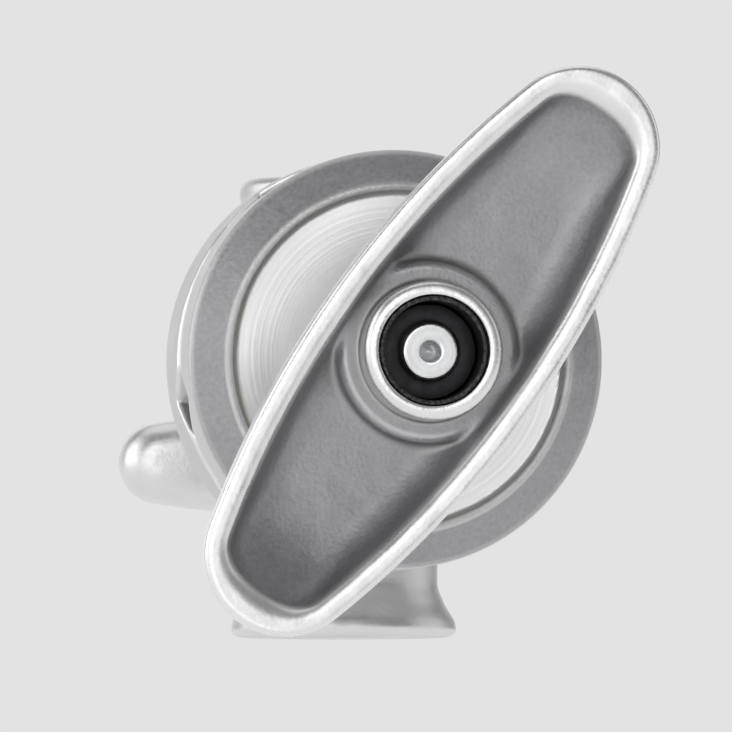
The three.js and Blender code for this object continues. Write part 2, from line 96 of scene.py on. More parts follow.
def long_turn(node):
    """The angle of a long node's length about the stud, from +X towards +Z."""
    points = np.array([v.co for v in frame["nodes"][node].data.vertices])[:, [0, 2]]
    points = points - (points.min(0) + points.max(0)) / 2
    directions = np.linalg.eigh(points.T @ points)[1]
    return math.atan2(directions[1, -1], directions[0, -1]) % math.pi


def local_box(node, place):
    """A node's lowest and highest corners in a local frame, as (x, y, z) in millimetres."""
    back = np.array(place.inverted())
    points = np.array([v.co for v in frame["nodes"][node].data.vertices]) / MM
    points = points @ back[:3, :3].T + back[:3, 3]
    return points.min(0), points.max(0)


# A local frame's Z runs forward along the stud, or backward along the lock screw.
# In the jaws' own frame the first guide pin stands straight below the stud.
pin_place = middle("jaw_guide_pin_1")
UPRIGHT = Matrix.Identity(4)
ON_STUD = Matrix.Rotation(math.pi / 2, 4, "X")
ON_JAWS = ON_STUD @ Matrix.Rotation(math.atan2(pin_place.z, pin_place.x) + math.pi / 2, 4, "Z")
ON_HANDLE = ON_STUD @ Matrix.Rotation(long_turn("t_handle"), 4, "Z")
LOCK_AXIS_Z = middle("lock_screw").z
ON_LOCK = Matrix.Translation((0, 0, LOCK_AXIS_Z)) @ Matrix.Rotation(math.pi, 4, "Z") @ ON_STUD

# ---- Distance fields ----------------------------------------------------------------------------


def both(a, b, soft):
    """Where both fields hold, with the edge between them rounded."""
    blend = np.maximum(soft - np.abs(a - b), 0) / soft
    return np.maximum(a, b) + blend * blend * soft / 4


def join(a, b, soft):
    return -both(-a, -b, soft)


def cut(a, b, soft):
    return both(a, -b, soft)


def bar(x, y, r):
    return np.hypot(x, y) - r


def between(z, low, high):
    return np.maximum(low - z, z - high)


def short_bar(x, y, z, r, low, high, soft=0.3):
    return both(bar(x, y, r), between(z, low, high), soft)


def hexagon(x, y, across_flats):
    sides = [x * math.sin(a) + y * math.cos(a) for a in (0, TAU / 6, TAU / 3)]
    return np.maximum(np.maximum(np.abs(sides[0]), np.abs(sides[1])), np.abs(sides[2])) - across_flats / 2


def oval(x, y, half, wide, end):
    """A long oval of two shallow side arcs and two end arcs that meet smoothly."""
    reach, bulge = half - end, wide - end
    drop = (reach**2 - bulge**2) / (2 * bulge)  # of a side arc's centre
    a, b = np.abs(x), np.abs(y)
    side = np.hypot(a, b + drop) - (wide + drop)
    tip = np.hypot(a - reach, b) - end
    return np.where(np.arctan2(a, b + drop) < math.atan2(reach, drop), side, tip)


def outline(points, x, y):
    """Distance to a closed outline in the plane, negative inside it."""
    nearest = np.full(np.broadcast(x, y).shape, np.inf)
    inside = np.zeros(nearest.shape, bool)
    for (ax, ay), (bx, by) in zip(points, points[1:] + points[:1]):
        ex, ey = bx - ax, by - ay
        share = np.clip(((x - ax) * ex + (y - ay) * ey) / (ex * ex + ey * ey), 0, 1)
        nearest = np.minimum(nearest, (x - ax - share * ex) ** 2 + (y - ay - share * ey) ** 2)
        if ay != by:
            inside ^= ((ay > y) != (by > y)) & (x < ex * (y - ay) / ey + ax)
    return np.where(inside, -1, 1) * np.sqrt(nearest)


class Turned:
    """A profile of (radius, height) points turned about an axis, with softened corners."""

    STEP = 0.1
    MARGIN = 6

    def __init__(self, profile, soft=0.35):
        radii = [p[0] for p in profile]
        heights = [p[1] for p in profile]
        self.low = (-self.MARGIN, min(heights) - self.MARGIN)
        r = np.arange(self.low[0], max(radii) + self.MARGIN, self.STEP)
        z = np.arange(self.low[1], max(heights) + self.MARGIN, self.STEP)
        mirrored = [(-r_, z_) for r_, z_ in reversed(profile) if r_ > 0]
        self.table = outline(profile + mirrored, r[:, None], z[None, :])
        reach = np.arange(-3 * soft, 3 * soft + self.STEP, self.STEP)
        kernel = np.exp(-((reach / soft) ** 2) / 2)
        kernel /= kernel.sum()
        ends = (len(kernel) // 2, (len(kernel) - 1) // 2)
        for axis, pad in ((0, (ends, (0, 0))), (1, ((0, 0), ends))):
            wide = np.pad(self.table, pad, mode="edge")
            self.table = np.apply_along_axis(np.convolve, axis, wide, kernel, mode="valid")

    def __call__(self, radius, height):
        i = np.clip((radius - self.low[0]) / self.STEP, 0, self.table.shape[0] - 1.001)
        j = np.clip((height - self.low[1]) / self.STEP, 0, self.table.shape[1] - 1.001)
        i, j = np.broadcast_arrays(i, j)
        i0, j0 = i.astype(int), j.astype(int)
        near = self.table[i0, j0] * (1 - j + j0) + self.table[i0, j0 + 1] * (j - j0)
        far = self.table[i0 + 1, j0] * (1 - j + j0) + self.table[i0 + 1, j0 + 1] * (j - j0)
        return near * (1 - i + i0) + far * (i - i0)


def threaded(x, y, z, r, pitch, low, high):
    """A bar with a right-hand V thread between two heights."""
    depth = 0.58 * pitch  # from crest to root
    turn = (z / pitch - np.arctan2(y, x) / TAU) % 1
    valley = np.clip(2.4 * np.abs(turn - 0.5) - 0.15, 0, 1)
    run_in = np.clip(np.minimum(z - low, high - z) / pitch, 0, 1)
    return (np.hypot(x, y) - r + depth * valley * run_in) * 0.7


# ---- Meshes -------------------------------------------------------------------------------------


def along(values, axis, start, stop):
    """The part of an array between two places on one axis."""
    places = [slice(None)] * values.ndim
    places[axis] = slice(start, stop)
    return values[tuple(places)]


def shifted(places, axis_a, step_a, axis_b, step_b):
    moved = places.copy()
    moved[:, axis_a] += step_a
    moved[:, axis_b] += step_b
    return tuple(moved.T)


def untangle(values):
    """Flips the weakest corner of each grid face whose signs alternate, where two sheets would touch
    along an edge."""
    for u, v in ((0, 1), (1, 2), (2, 0)):
        steps = np.zeros((4, 3), int)
        steps[1:3, u] = steps[2:, v] = 1
        inside = values < 0
        near, far = along(inside, u, 0, -1), along(inside, u, 1, None)
        a, b = along(near, v, 0, -1), along(far, v, 0, -1)
        c, d = along(far, v, 1, None), along(near, v, 1, None)
        for place in np.argwhere((a == c) & (b == d) & (a != b)):
            weakest = min((tuple(place + step) for step in steps), key=lambda corner: abs(values[corner]))
            values[weakest] *= -0.01


def surface_net(field, low, high, cell):
    """Points and outward quads of a field's surface, with one point in each grid cell it crosses."""
    counts = [int(math.ceil((h - l) / cell)) + 1 for l, h in zip(low, high)]
    x, y, z = (low[i] + cell * np.arange(counts[i]) for i in range(3))
    values = field(x[:, None, None], y[None, :, None], z[None, None, :]).astype(np.float32)
    for _ in range(3):
        untangle(values)
    cells = tuple(c - 1 for c in counts)
    total = np.zeros(cells + (3,), np.float32)
    hits = np.zeros(cells, np.float32)
    crossings = []
    for axis in range(3):
        first, second = along(values, axis, 0, -1), along(values, axis, 1, None)
        places = np.argwhere((first < 0) != (second < 0))
        before, after = first[tuple(places.T)], second[tuple(places.T)]
        points = places.astype(np.float32)
        points[:, axis] += before / (before - after)
        u, v = (axis + 1) % 3, (axis + 2) % 3
        crossings.append((places, before < 0, u, v))
        for du in (0, -1):
            for dv in (0, -1):
                owner = shifted(places, u, du, v, dv)
                np.add.at(total, owner, points)
                np.add.at(hits, owner, 1)
    used = hits > 0
    number = np.full(cells, -1)
    number[used] = np.arange(used.sum())
    points = total[used] / hits[used][:, None] * cell + np.array(low)
    quads = []
    for places, starts_inside, u, v in crossings:
        ring = ((0, 0), (-1, 0), (-1, -1), (0, -1))
        corners = np.stack([number[shifted(places, u, du, v, dv)] for du, dv in ring], 1)
        corners[~starts_inside] = corners[~starts_inside][:, ::-1]
        quads.append(corners)
    return points, np.concatenate(quads)


def slope_of(field, points, reach):
    """The field's slope at each point, taken over a small distance."""
    corners = np.array([(1, -1, -1), (-1, -1, 1), (-1, 1, -1), (1, 1, 1)], float)
    return sum(k * field(*(points + reach * k).T)[:, None] for k in corners) / (4 * reach)


def settle(field, points, cell, rounds=4):
    """Moves the net's points onto the field's surface."""
    for _ in range(rounds):
        slope = slope_of(field, points, cell * 0.05)
        steep = np.maximum((slope**2).sum(1), 0.1)
        step = slope * (field(*points.T) / steep)[:, None]
        points = points - np.clip(step, -cell / 3, cell / 3)
    return points


def make_object(node, points, faces, place, crease=None, **marks):
    """A smooth-shaded mesh in the row frame, for a CAD node. crease is the angle in degrees kept sharp.
    Each mark is a number at each point that the material reads."""
    mesh = bpy.data.meshes.new(node + FINE)
    mesh.from_pydata([tuple(p) for p in points], [], [tuple(f) for f in faces])
    mesh.transform(Matrix.Scale(MM, 4) @ place)
    mesh.shade_smooth()
    for name, values in marks.items():
        mark = mesh.attributes.new(name, "FLOAT", "POINT")
        mark.data.foreach_set("value", np.asarray(values, np.float32))
    if crease:
        mesh.set_sharp_from_angle(angle=math.radians(crease))
    mesh.validate()
    made = bpy.data.objects.new(node + FINE, mesh)
    bpy.context.scene.collection.objects.link(made)
    return made


def bend(field, points, reach=0.6):
    """How sharply the surface bends near each point: above 0 on outer edges and below 0 in hollows."""
    total = -6 * field(*points.T)
    for axis in range(3):
        for step in (-reach, reach):
            moved = points.copy()
            moved[:, axis] += step
            total += field(*moved.T)
    return np.clip(total / reach, -1, 1)


def shaped(node, field, place, cell, **shares):
    """A piece from its distance field, inside the box of its CAD node. Each share is a function of
    x, y and z, such as raw=..., that says how far each point has a finish."""
    low, high = local_box(node, place)
    points, quads = surface_net(field, low - 1.5 * cell, high + 1.5 * cell, cell)
    points = settle(field, points, cell)
    marks = {name: np.clip(share(*points.T), 0, 1) for name, share in shares.items()}
    made = make_object(node, points, quads.tolist(), place, edge=bend(field, points), **marks)
    normals = slope_of(field, points, cell * 0.3) @ np.array(place.to_3x3()).T
    normals /= np.maximum(np.linalg.norm(normals, axis=1), 1e-6)[:, None]
    made.data.normals_split_custom_set_from_vertices(normals.tolist())
    return made


def evenly(share):
    return lambda x, y, z: np.full(x.shape, share)


def rounded(profile, r):
    """The profile with its inner corners replaced by short arcs, smaller where edges are short. Each
    point is (radius, height, edge), where edge is 1 on an outer corner and -1 in an inner one."""
    out = [(*profile[0], 0)]
    for before, corner, after in zip(profile, profile[1:], profile[2:]):
        c = np.array(corner, float)
        a, b = np.array(before, float) - c, np.array(after, float) - c
        size = min(r, np.linalg.norm(a) * 0.45, np.linalg.norm(b) * 0.45)
        turn = b[0] * a[1] - b[1] * a[0]
        a, b = c + a / np.linalg.norm(a) * size, c + b / np.linalg.norm(b) * size
        out += [(*a, 0), (*((a + b) / 4 + c / 2), math.copysign(1, turn)), (*b, 0)]
    return out + [(*profile[-1], 0)]


def revolve(name, profile, place, sides=96, soft=0.25):
    """A profile of (radius, height) points turned about local Z, going up its outside. It starts and
    ends on the axis, or closes on itself."""
    closed = profile[0] == profile[-1]
    rows = rounded(profile + [profile[1]] if closed else profile, soft)[1:-1]
    turns = [(math.cos(TAU * k / sides), math.sin(TAU * k / sides)) for k in range(sides)]
    points = [(r * c, r * s, z) for r, z, _ in rows for c, s in turns]
    edges = [at_corner for _, _, at_corner in rows for _ in turns]
    faces = []
    for i in range(len(rows) if closed else len(rows) - 1):
        this, above = i * sides, (i + 1) % len(rows) * sides
        for j in range(sides):
            k = (j + 1) % sides
            faces.append((this + j, this + k, above + k, above + j))
    if not closed:
        top = (len(rows) - 1) * sides
        faces.append(tuple(reversed(range(sides))))
        faces.append(tuple(range(top, top + sides)))
    return make_object(name, points, faces, place, crease=35, edge=edges)


# ---- Castings -----------------------------------------------------------------------------------

# Grooves across the jaw faces: side of the stud in degrees, distance from it, and depth
GROOVES = ((-90, 15.6, 4.4), (0, 17.4, 5.8), (90, 18.2, 6.4), (180, 14.6, 3.2))
GUIDE_PLACES = ((0, -26), (-26, 0))
GUIDE_DEEP = 7  # of the front jaw's guide holes
BIG_HANDLE = {"end_r": 12.3, "rim": 3.4, "hub_t": 12.6, "tip_t": 9.0, "recess": 8.0, "slope": 0.3}
SMALL_HANDLE = {"end_r": 6.4, "rim": 2.2, "hub_t": 8.5, "tip_t": 6.5, "recess": 2.6, "slope": 0.4}
WING_DRAFT = 0.06  # of a wing's outer flank
END_SLOPE = 1.3  # of a recess's ends
BED_RISE = 0.22  # of a recess's floor at the tips, as a share of its depth
TOOTH = {"pitch": 2.2, "deep": 0.4}
SPRING_SEAT = {"r": 8.8, "deep": 5.5}
JAW_R = local_box("outer_jaw", ON_JAWS)[1][0]
STUD_R = local_box("main_stud", ON_STUD)[1][0]
GUIDE_R = local_box("jaw_guide_pin_1", ON_JAWS)[1][0]
WASHER_HOLE = STUD_R + CLEAR + 0.2  # also of the bearing's cage
NUT_HEX_H = 11.0  # of the handle nut's hexagon
SLEEVE_R = 8.2  # of the handle nut's sleeve
CROSS_PIN_HOLE = 1.55
ROLL_PIN_HOLE = 1.65
SCREW_HOLE = 5.25  # round the M10 lock screw
ROLLERS = sum(node.startswith("bearing_roller_") for node in frame["nodes"])


def groove(x, y, h, side, offset, deep):
    """A V groove with teeth across it. h is the distance into the jaw from its clamping face."""
    a = math.radians(side)
    out = x * math.cos(a) + y * math.sin(a) - offset
    run = y * math.cos(a) - x * math.sin(a)
    tooth = 0.5 + 0.5 * np.cos(TAU * run / TOOTH["pitch"])
    fade = np.clip((JAW_R - 4.5 - np.hypot(x, y)) / 3, 0, 1)
    return (h + np.sqrt(out**2 + 0.16) - deep) * math.sqrt(0.5) - TOOTH["deep"] * tooth * fade


def jaw_cuts(made, x, y, h, guide_r, guide_deep):
    made = cut(made, bar(x, y, STUD_R + CLEAR), 0.5)
    made = cut(made, short_bar(x, y, h, SPRING_SEAT["r"], -5, SPRING_SEAT["deep"]), 0.5)
    for side, offset, deep in GROOVES:
        made = cut(made, groove(x, y, h, side, offset, deep), 0.7)
    for px, py in GUIDE_PLACES:
        made = cut(made, short_bar(x - px, y - py, h, guide_r, -5, guide_deep), 0.4)
    return made


def outer_jaw():
    """The front disc: a turned bevel, a small groove inside it and a flat with the washer's seat."""
    low, high = local_box("outer_jaw", ON_JAWS)
    thick, r = high[2] - low[2], high[0]
    flat_r, flat_z = r - 6.6, thick - 0.6
    disc = Turned([
        (0, 0),
        (r - 0.5, 0),
        (r, 0.5),
        (r, thick - 3.4),
        (r - 0.6, thick - 2.7),
        (r - 4.6, thick - 0.5),
        (r - 5.2, thick),
        (flat_r + 0.4, thick),
        (flat_r, flat_z),
        (0, flat_z),
    ], soft=0.28)
    washer_r = local_box("rear_thrust_washer", ON_JAWS)[1][0] + 0.5

    def field(x, y, z):
        h = z - low[2]
        made = disc(np.hypot(x, y), h)
        made = cut(made, short_bar(x, y, h, washer_r, thick - 1.6, thick + 5), 0.4)
        return jaw_cuts(made, x, y, h, GUIDE_R + 0.15, GUIDE_DEEP)

    def raw(x, y, z):
        """The bevel is left as cast, and the side is half tumbled."""
        return np.minimum((np.hypot(x, y) - flat_r + 0.3) * 3, np.clip(z - high[2] + 4.2, 0.45, 1))

    def turned(x, y, z):
        """The flat inside the bevel's groove is faced on a lathe."""
        return np.minimum((flat_r - 0.1 - np.hypot(x, y)) * 4, (z - high[2] + 1.4) * 4)

    return shaped("outer_jaw", field, ON_JAWS, CAST_CELL * 0.87, raw=raw, turned=turned)


def inner_jaw():
    """The rear disc, whose guide holes run right through."""
    low, high = local_box("inner_jaw", ON_JAWS)
    thick, r = high[2] - low[2], high[0]
    disc = Turned([(0, 0), (r - 0.5, 0), (r, 0.5), (r, thick - 0.8), (r - 0.8, thick), (0, thick)], soft=0.3)

    def field(x, y, z):
        h = high[2] - z
        return jaw_cuts(disc(np.hypot(x, y), h), x, y, h, GUIDE_R + CLEAR, thick + 5)

    return shaped("inner_jaw", field, ON_JAWS, CAST_CELL, raw=evenly(0.5))


def wings(x, y, z, half, wide, front, shape):
    """A boat-shaped bar with a hollow front. Its walls have draft, its floor has a wide fillet and
    rises a little towards the tips, and its underside does too."""
    deep = front - z
    end_r, rim, hub_t, recess = shape["end_r"], shape["rim"], shape["hub_t"], shape["recess"]
    flank = oval(x, y, half, wide, end_r) + WING_DRAFT * deep
    reach = np.clip((np.abs(x) - wide * 0.6) / (half - wide * 0.6), 0, 1)
    under = deep - hub_t + (hub_t - shape["tip_t"]) * reach**2
    made = both(both(flank, -deep, 0.35 * rim), under, 0.55 * hub_t)
    inner = oval(x, y, half - rim, wide - rim, end_r - rim)
    wall = (inner + shape["slope"] * deep) / math.hypot(1, shape["slope"])
    ends = (np.abs(x) - (half - rim) + END_SLOPE * deep) / math.hypot(1, END_SLOPE)
    bed = deep - recess + BED_RISE * recess * reach**2
    well = both(both(wall, ends, 0.4 * recess), bed, 0.5 * recess)
    return cut(made, well, 0.4 * rim)


def t_handle():
    """The big handle: hollow wings and a stepped hub with a hexagon pocket behind for the nut."""
    low, high = local_box("t_handle", ON_HANDLE)
    half, wide, back, front = high[0], high[1], low[2], high[2]
    rim_front = front - 0.8
    floor, under = rim_front - BIG_HANDLE["recess"], rim_front - BIG_HANDLE["hub_t"]
    hub = Turned([
        (0, back),
        (11.8, back),
        (12.6, back + 0.8),
        (13, under - 2.5),
        (14.6, under + 0.5),
        (13.6, floor),
        (13.6, floor + 2.6),
        (12.8, floor + 3.4),
        (10.5, floor + 3.4),
        (10.5, front - 0.8),
        (9.7, front),
        (0, front),
    ])
    nut_low, nut_high = local_box("handle_nut", ON_HANDLE)

    def field(x, y, z):
        made = wings(x, y, z, half, wide, rim_front, BIG_HANDLE)
        made = join(made, hub(np.hypot(x, y), z), 1.6)
        pocket = both(hexagon(x, y, nut_high[1] * 2 + 0.3), z - (nut_low[2] + NUT_HEX_H + 0.2), 0.3)
        return cut(cut(made, pocket, 0.4), bar(x, y, SLEEVE_R + 0.15), 0.5)

    def raw(x, y, z):
        """The hollow is left as cast, the hub's face and the rim are buffed, and the back is between."""
        inset = BIG_HANDLE["rim"] + 0.2
        inside = -oval(x, y, half - inset, wide - inset, BIG_HANDLE["end_r"] - inset)
        hollow = np.minimum(inside * 2, (rim_front - 1 - z) * 1.5)
        off_hub = (np.hypot(x, y) - 10.6) * 2
        return np.minimum(np.minimum(hollow, off_hub), np.clip(z - floor + 3, 0.35, 1))

    return shaped("t_handle", field, ON_HANDLE, CAST_CELL * 0.91, raw=raw)


def lock_t_handle():
    """The small handle on the lock screw, solid round its hub, with a shallow hollow in each wing."""
    low, high = local_box("lock_t_handle", ON_LOCK)
    half, r, back, front = high[0], high[1], low[2], high[2]
    hub = Turned([
        (0, back),
        (r - 0.8, back),
        (r, back + 0.8),
        (r, front - 8.5),
        (r - 1, front - 0.6),
        (r - 1.6, front),
        (0, front),
    ])
    screw_end = local_box("lock_screw", ON_LOCK)[1][2]
    pin_low, pin_high = local_box("lock_cross_pin", ON_LOCK)
    pin_z = (pin_low[2] + pin_high[2]) / 2

    def field(x, y, z):
        made = wings(x, y, z, half, r, front - 0.6, SMALL_HANDLE)
        made = join(made, hub(np.hypot(x, y), z), 1.5)
        made = cut(made, both(bar(x, y, 5.05), z - screw_end - 0.2, 0.3), 0.4)
        return cut(made, bar(x, z - pin_z, CROSS_PIN_HOLE), 0.3)

    return shaped("lock_t_handle", field, ON_LOCK, FINE_CELL * 1.1, raw=evenly(0.15))


def socket_body():
    """Barrel, neck, plate, ribs and lock boss in one casting, with filleted joints and bored holes."""
    low, high = local_box("socket_body", UPRIGHT)
    mouth, roof = low[2], high[2]
    barrel_r, lip_r, top_r, bore_r = 14.5, 17.5, 16.0, 8.2
    boss_r, rib_half = 10.5, 3
    plate_r, plate_back, plate_front = high[0], 16.0, -low[1]
    barrel = Turned([
        (0, mouth),
        (lip_r - 0.8, mouth),
        (lip_r, mouth + 0.8),
        (lip_r - 0.3, mouth + 2.4),
        (barrel_r + 1.2, mouth + 4.8),
        (barrel_r, mouth + 7.6),
        (barrel_r, roof - 5.5),
        (top_r, roof - 3.4),
        (top_r, roof - 1),
        (top_r - 1, roof),
        (0, roof),
    ], soft=0.5)
    plate = Turned([
        (0, 0),
        (14, 0),
        (14, plate_back - 2),
        (16, plate_back),
        (plate_r - 1.2, plate_back),
        (plate_r, plate_back + 1.2),
        (plate_r, plate_front - 0.8),
        (plate_r - 0.8, plate_front),
        (0, plate_front),
    ], soft=0.4)
    bore = Turned([
        (0, mouth - 5),
        (bore_r + 6.2, mouth - 5),
        (bore_r, mouth + 1.2),
        (bore_r, 1),
        (6, 1),
        (6, 0),
        (0, 0),
    ], soft=0.15)
    seat_r, seat_deep = 27.3, 1.2  # for the friction disc
    under_rib = [(4, -33), (plate_back + 0.5, -26.5), (plate_back + 0.5, 0), (4, 0)]
    side_ribs = [(-26, plate_back + 0.5), (26, plate_back + 0.5), (12, 1), (-12, 1)]
    bush_r = local_box("lock_bush", ON_LOCK)[1][0]
    bush_front = local_box("lock_bush", ON_LOCK)[0][2]
    boss_end = local_box("lock_bush", ON_LOCK)[1][2] - 0.1
    pin_y = middle("stud_roll_pin").y
    pin_end = local_box("stud_roll_pin", UPRIGHT)[0][2] - 0.2

    def field(x, y, z):
        ahead, lock_z = -y, z - LOCK_AXIS_Z
        across = np.hypot(x, z)
        made = join(barrel(np.hypot(x, y), z), plate(across, ahead), 3.5)
        made = join(made, both(outline(under_rib, ahead, z), np.abs(x) - rib_half, 1.6), 4)
        made = join(made, both(outline(side_ribs, x, ahead), np.abs(z) - rib_half, 1.6), 4)
        made = join(made, both(bar(x, lock_z, boss_r), between(y, 0, boss_end), 1.0), 4)
        made = cut(made, bore(np.hypot(x, y), z), 0.3)
        made = cut(made, short_bar(x, z, ahead, STUD_R + 0.15, 10, plate_front + 5), 0.4)
        made = cut(made, short_bar(x, z, ahead, seat_r, plate_front - seat_deep, plate_front + 5), 0.4)
        made = cut(made, both(bar(x, y - pin_y, ROLL_PIN_HOLE), pin_end - z, 0.3), 0.4)
        made = cut(made, short_bar(x, lock_z, y, bush_r + 0.15, bush_front - 0.2, boss_end + 5), 0.4)
        return cut(made, short_bar(x, lock_z, y, SCREW_HOLE, 0, boss_end + 5), 0.4)

    return shaped("socket_body", field, UPRIGHT, CAST_CELL * 1.14, raw=evenly(0.4))


# ---- Turned and formed pieces -------------------------------------------------------------------


def main_stud():
    """The 3/8 inch stud: plain where it is pressed into the socket, threaded in front, with a groove
    for the stop ring and a centre drilled in its end."""
    low, high = local_box("main_stud", ON_STUD)
    back, front = low[2], high[2]
    ring_low, ring_high = local_box("stud_stop_ring", ON_STUD)
    thread_start, roll_pin_z = 27.0, -middle("stud_roll_pin").y
    ends = Turned([
        (0, back),
        (STUD_R - 1, back),
        (STUD_R, back + 1),
        (STUD_R, ring_low[2] - 0.2),
        (STUD_R - 0.8, ring_low[2] - 0.2),
        (STUD_R - 0.8, ring_high[2] + 0.2),
        (STUD_R, ring_high[2] + 0.2),
        (STUD_R, front - 0.7),
        (STUD_R - 0.7, front),
        (1.6, front),
        (1.4, front - 1.9),
        (0, front - 2.7),
    ], soft=0.12)

    def field(x, y, z):
        thread = threaded(x, y, z, STUD_R, THREAD_PITCH, thread_start, front)
        made = both(ends(np.hypot(x, y), z), thread, 0.15)
        return cut(made, bar(x, z - roll_pin_z, ROLL_PIN_HOLE), 0.3)

    return shaped("main_stud", field, ON_STUD, FINE_CELL)


def lock_screw():
    """The M10 lock screw, with a hole in its tip for the pad's stem and a cross hole for the pin."""
    low, high = local_box("lock_screw", ON_LOCK)
    tip, end, r = low[2], high[2], high[0]
    profile = [(0, tip), (r - 0.8, tip), (r, tip + 0.8), (r, end - 0.8), (r - 0.8, end), (0, end)]
    ends = Turned(profile, soft=0.12)
    pin_low, pin_high = local_box("lock_cross_pin", ON_LOCK)
    handle_back = local_box("lock_t_handle", ON_LOCK)[0][2]

    def field(x, y, z):
        thread = threaded(x, y, z, r, LOCK_PITCH, tip - LOCK_PITCH, handle_back - 1)
        made = both(ends(np.hypot(x, y), z), thread, 0.15)
        made = cut(made, both(bar(x, y, 2.25), z - tip - 4.35, 0.2), 0.2)
        return cut(made, bar(x, z - (pin_low[2] + pin_high[2]) / 2, CROSS_PIN_HOLE), 0.2)

    return shaped("lock_screw", field, ON_LOCK, FINE_CELL)


def handle_nut():
    """The threaded insert: a hexagon with chamfered corners, and a sleeve that lines the hub."""
    low, high = local_box("handle_nut", ON_HANDLE)
    back, front = low[2], high[2]
    flats = high[1] * 2
    counterbore_r, counterbore_deep = 7.5, 14.3
    counterbore_floor = local_box("t_handle", ON_HANDLE)[1][2] - counterbore_deep

    def field(x, y, z):
        r = np.hypot(x, y)
        nut = both(hexagon(x, y, flats), between(z, back, back + NUT_HEX_H), 0.4)
        nut = both(nut, (r - flats * 0.56 - (z - back)) * 0.8, 0.3)
        made = join(nut, both(r - SLEEVE_R, between(z, back + 1, front), 0.3), 0.4)
        made = cut(made, short_bar(x, y, z, counterbore_r, counterbore_floor, front + 5), 0.25)
        return cut(made, bar(x, y, STUD_R + CLEAR), 0.4)

    return shaped("handle_nut", field, ON_HANDLE, FINE_CELL)


def bearing_cage():
    """A flat brass ring with a pocket for each roller."""
    low, high = local_box("bearing_cage", ON_STUD)
    centre = (low[2] + high[2]) / 2
    roller_low, roller_high = local_box("bearing_roller_1", ON_STUD)
    roller_r = (roller_high[2] - roller_low[2]) / 2

    def field(x, y, z):
        r = np.hypot(x, y)
        made = both(np.maximum(r - high[0], WASHER_HOLE - r), between(z, low[2], high[2]), 0.25)
        for k in range(ROLLERS):
            c, s = math.cos(TAU * k / ROLLERS), math.sin(TAU * k / ROLLERS)
            out, side = x * c + y * s, y * c - x * s
            ends = between(out, roller_low[0] - 0.15, roller_high[0] + 0.15)
            made = cut(made, both(bar(side, z - centre, roller_r + 0.15), ends, 0.1), 0.1)
        return made

    return shaped("bearing_cage", field, ON_STUD, FINE_CELL * 0.75)


def bearing_rollers():
    low, high = local_box("bearing_roller_1", ON_STUD)
    r = (high[2] - low[2]) / 2
    lift = Matrix.Translation((0, 0, (high[2] + low[2]) / 2)) @ Matrix.Rotation(math.pi / 2, 4, "Y")
    profile = [(0, low[0]), (r, low[0]), (r, high[0]), (0, high[0])]
    for k in range(ROLLERS):
        place = ON_STUD @ Matrix.Rotation(TAU * k / ROLLERS, 4, "Z") @ lift
        yield revolve(f"bearing_roller_{k + 1}", profile, place, sides=32, soft=0.2)


def flat_ring(name, place, inner, sides=128, soft=0.2):
    low, high = local_box(name, place)
    outer, back, front = high[0], low[2], high[2]
    profile = [(inner, front), (inner, back), (outer, back), (outer, front), (inner, front)]
    return revolve(name, profile, place, sides, soft)


def plain_pin(name, place, r, low, high, chamfer):
    lower = [(0, low), (r - chamfer, low), (r, low + chamfer)]
    profile = lower + [(r, high - chamfer), (r - chamfer, high), (0, high)]
    return revolve(name, profile, place, sides=48, soft=0.1)


def roll_pin():
    """A rolled spring pin with its slit to the left."""
    low, high = local_box("stud_roll_pin", UPRIGHT)
    outer, inner, steps = (high[0] - low[0]) / 2, 0.95, 40
    slit = 0.16  # half its angle
    place = Matrix.Translation(((low[0] + high[0]) / 2, (low[1] + high[1]) / 2, 0))
    angles = [math.pi + slit + (TAU - 2 * slit) * k / steps for k in range(steps + 1)]
    loop = [(outer, a) for a in angles] + [(inner, a) for a in reversed(angles)]
    count = len(loop)
    points = []
    for z, less in ((low[2], 0.3), (low[2] + 0.4, 0), (high[2] - 0.4, 0), (high[2], 0.3)):
        for r, a in loop:
            out = min(r, outer - less)
            points.append((out * math.cos(a), out * math.sin(a), z))
    faces = []
    for row in range(3):
        for k in range(count):
            a, b = row * count + k, row * count + (k + 1) % count
            faces.append((a, b, b + count, a + count))
    for k in range(steps):
        a, b, c, d = k, k + 1, count - 2 - k, count - 1 - k
        faces.append((d, c, b, a))
        faces.append(tuple(3 * count + i for i in (a, b, c, d)))
    return make_object("stud_roll_pin", points, faces, place, crease=35)


def lock_pad():
    """The soft pad that meets the stand pin, with the stem that snaps into the screw's tip."""
    low, high = local_box("lock_pad", ON_LOCK)
    front, end, r = low[2], high[2], high[0]
    thick, stem = 2.6, 1.9
    profile = [
        (0, front),
        (r - 0.5, front),
        (r, front + 0.5),
        (r, front + thick - 0.5),
        (r - 0.5, front + thick),
        (stem, front + thick),
        (stem, end - 1.4),
        (stem + 0.15, end - 1),
        (stem - 0.4, end),
        (0, end),
    ]
    return revolve("lock_pad", profile, ON_LOCK, sides=64, soft=0.15)


